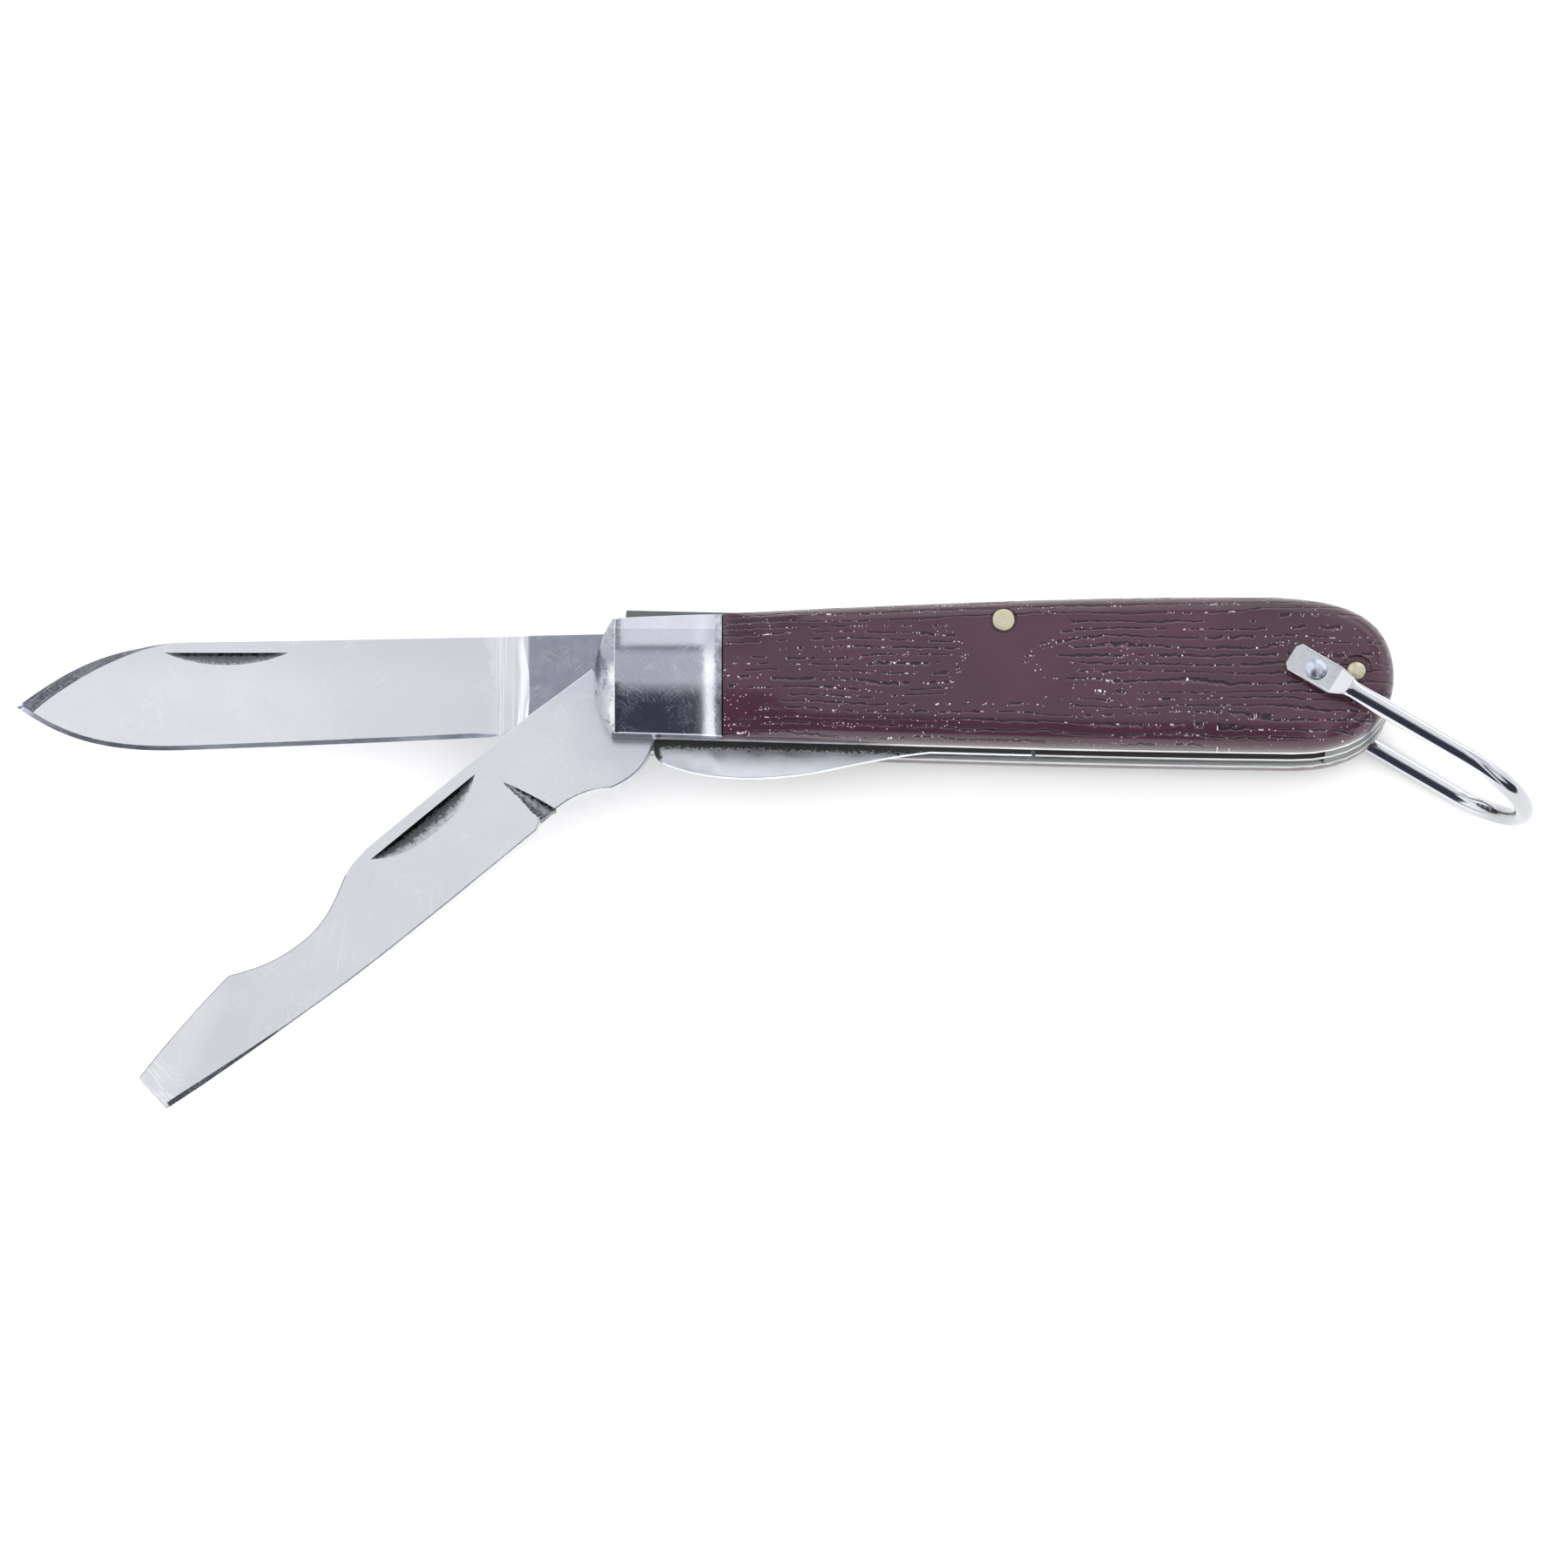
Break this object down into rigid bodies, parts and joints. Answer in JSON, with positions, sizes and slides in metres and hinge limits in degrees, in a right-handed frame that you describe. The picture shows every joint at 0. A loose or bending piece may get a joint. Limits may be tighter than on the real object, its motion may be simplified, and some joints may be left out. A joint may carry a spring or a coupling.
{
  "type": "folding knife",
  "caption": "Electrician's folding knife with a spear blade, a stripper and screwdriver blade, grained plastic scales, plain bolsters, a locking leaf and a wire shackle.",
  "frame": {"origin": "on the blades' pivot axis, at the level of the rear bolster's flat crest, which the knife lies on", "axes": "+X runs along the handle from the blade pivot to the butt, +Y points to the backspring side, +Z is the normal of the front face"},
  "size_m": [0.1813, 0.0621, 0.0202],
  "materials": {
    "brown_plastic": "dark brown moulded plastic with a wood-like grain",
    "nickel_silver": "polished nickel silver, scuffed",
    "liner_metal": "plain sheet metal with pale edges",
    "spring_steel": "dull carbon steel",
    "blade_steel": "satin to polished steel with fine scratches",
    "brass": "pale brass, ground nearly flush",
    "plated_steel": "bright plated steel"
  },
  "bodies": {
    "handle": {"front_scale": "brown_plastic", "rear_scale": "brown_plastic", "front_bolster": "nickel_silver", "rear_bolster": "nickel_silver", "rear_liner": "liner_metal", "front_liner": "liner_metal", "centre_liner": "liner_metal", "driver_spring_heel": "spring_steel", "spear_spring_heel": "spring_steel", "pivot_pin": "spring_steel", "centre_pin": "brass", "butt_pin": "brass", "bail_pin": "plated_steel"},
    "spear": {"spear_blade": "blade_steel"},
    "screwdriver": {"screwdriver_blade": "blade_steel"},
    "driver_spring": {"driver_spring_arm": "spring_steel"},
    "spear_spring": {"spear_spring_arm": "spring_steel"},
    "leaf": {"lock_leaf": "liner_metal"},
    "shackle": {"bail": "plated_steel"}
  },
  "joints": [
    {"name": "spear_pivot", "type": "hinge", "parent": "handle", "child": "spear", "pos_m": [0, 0, 0.00605], "axis": [0, 0, 1], "range_deg": [0, 180]},
    {"name": "screwdriver_pivot", "type": "hinge", "parent": "handle", "child": "screwdriver", "pos_m": [0, 0, 0.00915], "axis": [0, 0, 1], "range_deg": [-40.5, 139.5]},
    {"name": "driver_spring_flex", "type": "hinge", "parent": "handle", "child": "driver_spring", "pos_m": [0.019, 0.0076, 0.00915], "axis": [0, 0, -1], "range_deg": [-4.4, 0], "stiffness_Nm_per_rad": 0.5, "deforming": ["driver_spring_arm"]},
    {"name": "spear_spring_flex", "type": "hinge", "parent": "handle", "child": "spear_spring", "pos_m": [0.019, 0.0076, 0.00605], "axis": [0, 0, -1], "range_deg": [0, 4.4], "stiffness_Nm_per_rad": 0.5, "deforming": ["spear_spring_arm"]},
    {"name": "lock_leaf_flex", "type": "hinge", "parent": "handle", "child": "leaf", "pos_m": [0.046, -0.005, 0.0076], "axis": [0, -1, 0], "range_deg": [-1.5, 0], "stiffness_Nm_per_rad": 0.2, "deforming": ["lock_leaf"]},
    {"name": "shackle_swing", "type": "hinge", "parent": "handle", "child": "shackle", "pos_m": [0.0792, 0.001, 0.0076], "axis": [0, 0, 1], "range_deg": [-123.7, 186.3]}
  ]
}
